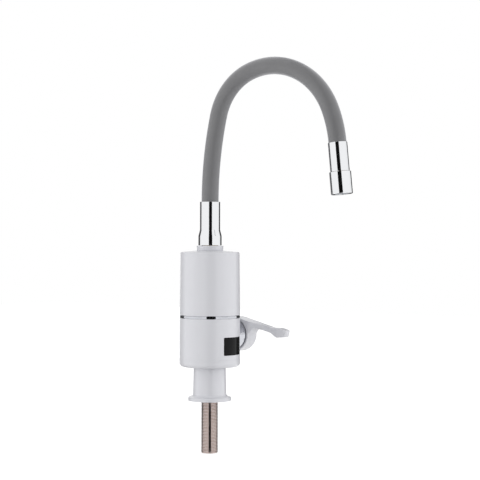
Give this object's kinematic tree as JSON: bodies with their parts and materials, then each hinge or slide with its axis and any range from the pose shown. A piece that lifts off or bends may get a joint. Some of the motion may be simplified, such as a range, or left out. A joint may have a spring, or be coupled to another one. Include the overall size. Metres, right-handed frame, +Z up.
{
  "type": "electric instant water heater tap",
  "caption": "Worktop tap that heats water as it flows: round white heater body with a display window and side lever, under a grey bendable gooseneck spout.",
  "frame": {"origin": "middle of the pedestal flange underside, where it meets the worktop", "axes": "+Z up along the heater body and swivel axis, -Y the way the spout points at rest (front), +X the side that the valve and lever are on"},
  "size_m": [0.1118, 0.2421, 0.488],
  "materials": {
    "white_shell": "satin white ABS",
    "chrome": "mirror chrome",
    "thread_steel": "turned stainless",
    "stainless": "drawn stainless",
    "brass": "machined brass",
    "silicone": "matte grey silicone",
    "water_tube": "natural silicone",
    "black_rubber": "matte black rubber",
    "smoked_window": "smoked acrylic",
    "ceramic": "lapped alumina",
    "circuit_board": "glass-epoxy board",
    "black_plastic": "moulded black plastic",
    "relay_blue": "moulded blue plastic",
    "element_sheath": "heat-tinted steel sheath",
    "wire_insulation": "silicone wire insulation",
    "ribbon_grey": "flat cable",
    "clear_grille": "moulded pale plastic",
    "switch_acetal": "natural acetal",
    "magnet_grey": "plastic-bonded magnet"
  },
  "bodies": {
    "tap_body": {"inlet_shank": "thread_steel", "shank_locknut": "brass", "pedestal": "white_shell", "base_gasket": "black_rubber", "lead_grommet": "black_rubber", "bottom_cover": "white_shell", "cover_screws": "stainless", "lower_housing": "white_shell", "display_window": "smoked_window", "display_board": "circuit_board", "display_module": "black_plastic", "trim_ring": "chrome", "upper_housing": "white_shell", "valve_body": "brass", "seat_ring": "black_rubber", "fixed_disc": "ceramic", "cartridge_body": "brass", "bonnet": "chrome", "collar_nut": "white_shell", "swivel_stub": "brass", "swivel_seals": "black_rubber", "swivel_clip": "stainless", "flow_switch_housing": "switch_acetal", "reed_switch": "black_plastic", "tank_shell": "stainless", "tank_lid": "stainless", "heating_element": "element_sheath", "temperature_probe": "stainless", "thermal_cutout": "black_plastic", "control_board": "circuit_board", "power_relay": "relay_blue", "power_module": "black_plastic", "terminal_block": "switch_acetal", "supply_wires": "wire_insulation", "heater_leads": "wire_insulation", "ribbon_cable": "ribbon_grey"},
    "spout": {"lower_ferrule": "chrome", "spout_socket": "brass", "hose_sleeve": "silicone", "water_tube": "water_tube"},
    "outlet": {"outlet_nipple": "brass", "outlet_ferrule": "chrome", "aerator_shell": "chrome", "aerator_insert": "clear_grille", "aerator_washer": "black_rubber"},
    "lever": {"lever_handle": "white_shell", "handle_screw": "stainless", "handle_plug": "white_shell", "cartridge_stem": "brass", "moving_disc": "ceramic"},
    "flow_piston": {"flow_piston": "magnet_grey"}
  },
  "joints": [
    {"name": "spout_swivel", "type": "hinge", "parent": "tap_body", "child": "spout", "pos_m": [0, 0, 0.2], "axis": [0, 0, 1], "continuous": true},
    {"name": "spout_bend", "type": "hinge", "parent": "spout", "child": "outlet", "pos_m": [0, -0.097, 0.411], "axis": [1, 0, 0], "range_deg": [-45, 30], "deforming": ["hose_sleeve", "water_tube"]},
    {"name": "lever_turn", "type": "hinge", "parent": "tap_body", "child": "lever", "pos_m": [0, 0, 0.08], "axis": [-1, 0, 0], "range_deg": [-90, 90]},
    {"name": "flow_lift", "type": "slide", "parent": "tap_body", "child": "flow_piston", "axis": [0, 0, 1], "range_m": [0, 0.004]}
  ]
}
